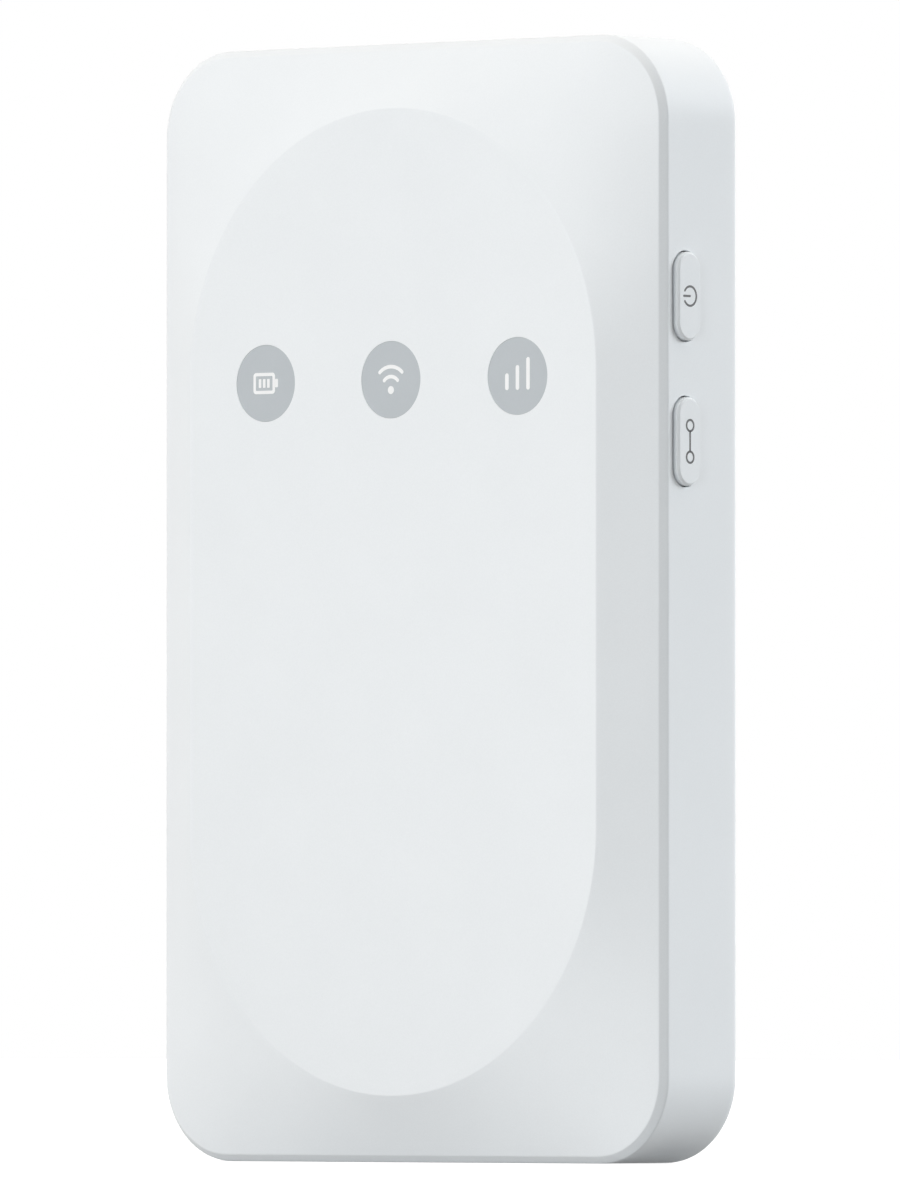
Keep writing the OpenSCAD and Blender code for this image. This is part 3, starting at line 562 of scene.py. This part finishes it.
# Arc of a stroke with round ends: the outer edge on, a half circle, the inner edge back, a half circle
def strokeArc(radius, start, end, stroke, centre=(0, 0)):
    a = np.radians(np.linspace(start, end, ink["arcPoints"]))
    cap = np.radians(np.linspace(0, 180, ink["capSteps"] + 1)[1:-1])
    half = stroke / 2

    def ring(r, angle):
        return np.stack([r * np.cos(angle), r * np.sin(angle)], axis=1)

    endCap = ring(radius, a[-1:]) + ring(half, a[-1] + cap)
    startCap = ring(radius, a[:1]) + ring(half, a[0] + np.pi + cap)
    outline = np.concatenate([ring(radius + half, a), endCap, ring(radius - half, a[::-1]), startCap])
    return outline + np.array(centre)


# Bar, dot or frame edge: a rounded rectangle about a centre
def barOutline(halfU, halfV, radius, centre=(0, 0)):
    return roundLoop(halfU, halfV, radius, ink["cornerSteps"]) + np.array(centre)


# A plate stands on its outline between two levels, and round its inner outline too where it has a hole
def plateMesh(outline, inner, axes, centre, low, high, first):
    def lift(flat, level):
        return centre + flat @ axes[:2] + level * axes[2]

    count = len(outline)
    if inner is None:
        verts = np.concatenate([lift(outline, low), lift(outline, high)])
        faces = stackQuads(2, count, first).reshape(-1, 4).tolist()
        faces.append([first + i for i in range(count)])
        faces.append([first + count + i for i in range(count)])
        return verts, faces
    rings = [(outline, low), (outline, high), (inner, high), (inner, low), (outline, low)]
    verts = np.concatenate([lift(flat, level) for flat, level in rings])
    return verts, stackQuads(len(rings), count, first).reshape(-1, 4).tolist()


def makeSign(name, plates, axes, centre, level, outward, material, body):
    low, high = level - outward * ink["sunk"], level + outward * ink["proud"]
    verts, faces = [], []
    for outline, inner in plates:
        first = sum(len(v) for v in verts)
        hole = None if inner is None else inner * mm
        newVerts, newFaces = plateMesh(outline * mm, hole, axes, centre, low, high, first)
        verts.append(newVerts)
        faces += newFaces
    return settle(meshPiece(name, np.concatenate(verts), faces, material), body)


# Signs on the windows, in millimetres from the disc's middle
batterySign = {"half": (1.37, 1.02), "corner": 0.34, "innerCorner": 0.08, "stroke": 0.32, "shift": -0.195,
               "tip": (0.2, 0.41), "tipCorner": 0.12, "tipReach": 0.18,
               "bar": (0.165, 0.425), "barCorner": 0.06, "barPitch": 0.53}
wifiSign = {"centre": (0, -0.85), "arcs": [(2.097, 42), (1.145, 47)], "stroke": 0.36,
            "dot": 0.385, "dotDrop": -0.99}
signalSign = {"halfBar": 0.225, "pitch": 1.31, "bottom": -1.33, "heights": [1.61, 2.36, 3.1]}


def batteryPlates():
    sign = batterySign
    half, shift, stroke = sign["half"], sign["shift"], sign["stroke"]
    outer = barOutline(half[0], half[1], sign["corner"], (shift, 0))
    inner = barOutline(half[0] - stroke, half[1] - stroke, sign["innerCorner"], (shift, 0))
    tip = barOutline(*sign["tip"], sign["tipCorner"], (shift + half[0] + sign["tipReach"], 0))
    barMiddles = [(shift + i * sign["barPitch"], 0) for i in (-1, 0, 1)]
    bars = [barOutline(*sign["bar"], sign["barCorner"], middle) for middle in barMiddles]
    return [(outer, inner), (tip, None)] + [(bar, None) for bar in bars]


def wifiPlates():
    sign = wifiSign
    arcs = [strokeArc(r, 90 - a, 90 + a, sign["stroke"], sign["centre"]) for r, a in sign["arcs"]]
    dot = barOutline(sign["dot"], sign["dot"], sign["dot"], (0, sign["dotDrop"]))
    return [(arc, None) for arc in arcs] + [(dot, None)]


def signalPlates():
    sign = signalSign
    bars = []
    for i, tall in enumerate(sign["heights"]):
        middle = ((i - 1) * sign["pitch"], sign["bottom"] + tall / 2)
        bars.append((barOutline(sign["halfBar"], tall / 2, sign["halfBar"], middle), None))
    return bars


windowSigns = {"battery_window": batteryPlates, "wifi_window": wifiPlates, "signal_window": signalPlates}
for name, plates in windowSigns.items():
    middle = boxMiddle(name)[0] * [1, 0, 1]
    makeSign(name + "Sign", plates(), frontAxes, middle, frontY + disc["sink"], -1, printWhite, "housing")

# Side buttons: capsules with a softened bevel, retaining ears behind the wall and a foot for the plunger
button = {"bevel": 0.2 * mm, "faceEdge": 0.04 * mm, "flankEdge": 0.04 * mm, "faceMargin": 0.5 * mm,
          "earThick": 0.8 * mm, "earWiden": 0.02 * mm, "footRadius": 0.8 * mm, "foot": 0.3 * mm, "steps": 20}


# Rounded sections from the face back: face, bevel, flank, ears behind the wall and the plunger's foot
def makeButton(name):
    low, high = (np.array(corner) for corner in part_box(name))
    capsule = (buttonHalfWidth, buttonHalfLength, buttonHalfWidth)
    earHalf = buttonHalfWidth + button["earWiden"]
    ear = (earHalf, buttonHalfLength + buttonEar, earHalf)
    foot = (button["footRadius"],) * 3
    faceX, footX = high[0], low[0]
    earBack = footX + button["foot"]
    earFront = earBack + button["earThick"]
    rows = [inset(capsule, button["faceMargin"], faceX),
            inset(capsule, button["bevel"], faceX, button["faceEdge"]),
            inset(capsule, 0, faceX - button["bevel"], button["flankEdge"]),
            inset(capsule, 0, earFront), inset(ear, 0, earFront), inset(ear, 0, earBack),
            inset(foot, 0, earBack), inset(foot, 0, footX)]
    stack = sectionStack(rows, sideAxes, (low + high) / 2 * [0, 1, 1], button["steps"])
    return settle(stackPiece(name + "Cap", stack, buttonWhite), name, [name])


for name in buttonNames:
    makeButton(name)

# Signs on the buttons, in millimetres from the button's middle; the front of the object lies to their left
powerSign = {"ring": 0.92, "stroke": 0.21, "gapHalf": 33, "stem": (-1.02, 0.1)}
pairingSign = {"ring": 0.53, "stroke": 0.21, "apart": 1.5}


def powerPlates():
    sign = powerSign
    ring = strokeArc(sign["ring"], sign["gapHalf"] - 180, 180 - sign["gapHalf"], sign["stroke"])
    start, end = sign["stem"]
    stem = barOutline((end - start) / 2, sign["stroke"] / 2, sign["stroke"] / 2, ((start + end) / 2, 0))
    return [(ring, None), (stem, None)]


def pairingPlates():
    sign = pairingSign
    half = sign["stroke"] / 2
    outer, inner = sign["ring"] + half, sign["ring"] - half
    rings = [(barOutline(outer, outer, outer, (0, s * sign["apart"])),
              barOutline(inner, inner, inner, (0, s * sign["apart"]))) for s in (-1, 1)]
    link = barOutline(half, sign["apart"] - sign["ring"], half)
    return rings + [(link, None)]


for name, plates in {"power_button": powerPlates, "pairing_button": pairingPlates}.items():
    middle = boxMiddle(name)[0] * [0, 1, 1]
    makeSign(name + "Sign", plates(), sideAxes, middle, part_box(name)[1][0], 1, printDark, name)

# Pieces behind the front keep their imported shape, with the sharp edges taken off. Each row gives the carrying
# body, the finish, the record's slot and the width of the bevel in millimetres.
soft = {"merge": 0.001 * mm, "flatAngle": 0.5, "sharpAngle": 35, "segments": 2, "weld": 0.002 * mm,
        "flatWeight": 80}
softened = {
    "back_cover": ("back_cover", shellWhite, "shell", 0.07),
    "mid_frame": ("housing", framePale, "frame", 0.09),
    "battery_pack": ("housing", batteryWrap, "battery", 0.35),
    "battery_cap": ("housing", blackPlastic, "black_plastic", 0.12),
    "battery_connector": ("housing", blackPlastic, "black_plastic", 0.06),
    "sim_base": ("housing", blackPlastic, "black_plastic", 0.05),
    "sim_cage": ("housing", tinCan, "can", 0.05),
    "usb_shell": ("housing", socketSteel, "socket_metal", 0.05),
    "usb_tongue": ("housing", blackPlastic, "black_plastic", 0.08),
    "frame_screws": ("housing", screwZinc, "screw", 0.05),
    "reset_plunger": ("reset_plunger", blackPlastic, "black_plastic", 0.08),
    "main_antenna": ("housing", flexAmber, "flex", 0.02),
    "wifi_antenna": ("housing", flexAmber, "flex", 0.02),
    "antenna_pins": ("housing", contactGold, "gold", 0.05),
    "main_board": ("housing", boardGreen, "board", 0.06),
    "baseband_shield": ("housing", tinCan, "can", 0.06),
    "rf_shield": ("housing", tinCan, "can", 0.06)}


# Merged copy of a node with its flat facets joined, a narrow bevel along sharp edges and flats shaded flat
def softCopy(node, body, material, width):
    mesh = nodes[node].data.copy()
    mesh.name = node + "Soft"
    bm = bmesh.new()
    bm.from_mesh(mesh)
    bmesh.ops.remove_doubles(bm, verts=bm.verts[:], dist=soft["merge"])
    flatAngle = np.radians(soft["flatAngle"])
    bmesh.ops.dissolve_limit(bm, angle_limit=flatAngle, verts=bm.verts[:], edges=bm.edges[:])
    bm.to_mesh(mesh)
    bm.free()
    mesh.materials.clear()
    mesh.materials.append(material)
    mesh.shade_smooth()
    piece = bpy.data.objects.new(node + "Soft", mesh)
    bpy.context.scene.collection.objects.link(piece)
    bevel = piece.modifiers.new("softEdges", "BEVEL")
    bevel.width = width * mm
    bevel.segments = soft["segments"]
    bevel.limit_method = "ANGLE"
    bevel.angle_limit = np.radians(soft["sharpAngle"])
    weld = piece.modifiers.new("joinedCorners", "WELD")
    weld.merge_threshold = soft["weld"]
    flats = piece.modifiers.new("flatFaces", "WEIGHTED_NORMAL")
    flats.mode = "FACE_AREA"
    flats.weight = soft["flatWeight"]
    return settle(piece, body, [node])


for node, (body, material, slotName, width) in softened.items():
    softCopy(node, body, material, width)
print("softened copies:", len(softened))

# The nodes that stay as packed, with their finishes
finishes = {
    blackPlastic: ["light_shield", "power_plunger", "pairing_plunger"],
    chipEpoxy: ["modem_chip", "memory_chip", "wifi_chip", "power_amplifier"],
    tinCan: ["power_switch", "pairing_switch", "reset_switch"],
    contactGold: ["battery_terminals", "battery_springs"],
    ledPack: ["status_leds"]}
for material, names in finishes.items():
    for name in names:
        nodes[name].material_slots[0].material = material

# Table, sky, lamps and camera
studio = {"floorSide": 6.0, "floorDrop": 0.02 * mm, "floorGrey": 0.34, "floorBounce": 0.11, "floorGlow": 0.72,
          "floorShade": 0.5, "skyAmbient": 0.02}
lamps = {
    "leftKey": {"azimuth": -30, "height": 25, "strength": 2.08, "spread": 60, "tint": (1.0, 0.972, 0.955)},
    "rightFill": {"azimuth": 20, "height": 8, "strength": 0.91, "spread": 20, "tint": (0.88, 0.95, 1.0)},
    "topFill": {"azimuth": 0, "height": 88, "strength": 0.8, "spread": 60, "tint": (1.0, 0.93, 0.86)},
    "rearRight": {"azimuth": 145, "height": 20, "strength": 2.6, "spread": 24, "tint": (0.94, 0.97, 1.0)},
    "rearTop": {"azimuth": 180, "height": 62, "strength": 0.9, "spread": 60, "tint": (1.0, 0.93, 0.87)}}
shot = {"azimuth": 40.318, "elevation": -1.3076, "distance": 1736.89 * mm, "lens": 545.29, "sensor": 36.0,
        "shiftRight": 3.807 * mm, "shiftUp": 0.211 * mm}


# A surface that camera, glossy and transmission rays see as background, and other rays as something else
def splitByRay(tree, seen, other, output):
    path = tree.nodes.new("ShaderNodeLightPath")
    either = addMath(tree, "MAXIMUM", path.outputs["Is Camera Ray"], path.outputs["Is Glossy Ray"])
    either = addMath(tree, "MAXIMUM", either, path.outputs["Is Transmission Ray"])
    mix = tree.nodes.new("ShaderNodeMixShader")
    wire(tree, either, mix.inputs[0])
    wire(tree, other, mix.inputs[1])
    wire(tree, seen, mix.inputs[2])
    wire(tree, mix.outputs[0], output)


def makeSky():
    world = bpy.data.worlds.new("whiteSky")
    bpy.context.scene.world = world
    world.use_nodes = True
    tree = world.node_tree
    seen = tree.nodes["Background"]
    seen.inputs["Color"].default_value = (1, 1, 1, 1)
    seen.inputs["Strength"].default_value = 1.0
    ambient = tree.nodes.new("ShaderNodeBackground")
    ambient.inputs["Color"].default_value = (1, 1, 1, 1)
    ambient.inputs["Strength"].default_value = studio["skyAmbient"]
    splitByRay(tree, seen.outputs[0], ambient.outputs[0], tree.nodes["World Output"].inputs["Surface"])


def makeFloor():
    side = studio["floorSide"] / 2
    level = -studio["floorDrop"]
    verts = [[-side, -side, level], [side, -side, level], [side, side, level], [-side, side, level]]
    material = bpy.data.materials.new("tableWhite")
    material.use_nodes = True
    tree = material.node_tree
    tree.nodes.remove(tree.nodes["Principled BSDF"])
    shade = tree.nodes.new("ShaderNodeBsdfDiffuse")
    shade.inputs["Color"].default_value = (*[studio["floorShade"]] * 3, 1)
    glow = tree.nodes.new("ShaderNodeEmission")
    glow.inputs["Strength"].default_value = studio["floorGlow"]
    seen = tree.nodes.new("ShaderNodeAddShader")
    wire(tree, shade.outputs[0], seen.inputs[0])
    wire(tree, glow.outputs[0], seen.inputs[1])
    plain = tree.nodes.new("ShaderNodeBsdfDiffuse")
    plain.inputs["Color"].default_value = (*[studio["floorGrey"]] * 3, 1)
    bounce = tree.nodes.new("ShaderNodeEmission")
    bounce.inputs["Strength"].default_value = studio["floorBounce"]
    other = tree.nodes.new("ShaderNodeAddShader")
    wire(tree, plain.outputs[0], other.inputs[0])
    wire(tree, bounce.outputs[0], other.inputs[1])
    splitByRay(tree, seen.outputs[0], other.outputs[0], tree.nodes["Material Output"].inputs["Surface"])
    mesh = bpy.data.meshes.new("table")
    mesh.from_pydata(verts, [], [[0, 1, 2, 3]])
    mesh.materials.append(material)
    floor = bpy.data.objects.new("table", mesh)
    bpy.context.scene.collection.objects.link(floor)


# Unit vector towards an azimuth, counted from the front round to the right, and a height, both in degrees
def towards(azimuth, height):
    a, h = np.radians([azimuth, height])
    return Vector((np.sin(a) * np.cos(h), -np.cos(a) * np.cos(h), np.sin(h)))


def makeLamp(name, lamp):
    light = bpy.data.lights.new(name, "SUN")
    light.energy = lamp["strength"]
    light.angle = np.radians(lamp["spread"])
    light.color = lamp["tint"]
    holder = bpy.data.objects.new(name, light)
    holder.rotation_euler = towards(lamp["azimuth"], lamp["height"]).to_track_quat("Z", "Y").to_euler()
    bpy.context.scene.collection.objects.link(holder)


def makeCamera():
    back = towards(shot["azimuth"], shot["elevation"])
    right = towards(shot["azimuth"] + 90, 0)
    up = back.cross(right)
    target = Vector((0, frontY + house["domeRise"], midHeight))
    target += right * shot["shiftRight"] + up * shot["shiftUp"]
    view = bpy.data.cameras.new("camera")
    view.sensor_fit = "VERTICAL"
    view.sensor_height = view.sensor_width = shot["sensor"]
    view.lens = shot["lens"]
    camera = bpy.data.objects.new("camera", view)
    place = Matrix((right, up, back)).transposed().to_4x4()
    place.translation = target + back * shot["distance"]
    camera.matrix_world = place
    bpy.context.scene.collection.objects.link(camera)
    bpy.context.scene.camera = camera


makeSky()
makeFloor()
for name, lamp in lamps.items():
    makeLamp(name, lamp)
makeCamera()
bpy.context.scene.view_settings.view_transform = "Standard"
print("studio:", len(lamps), "lamps")
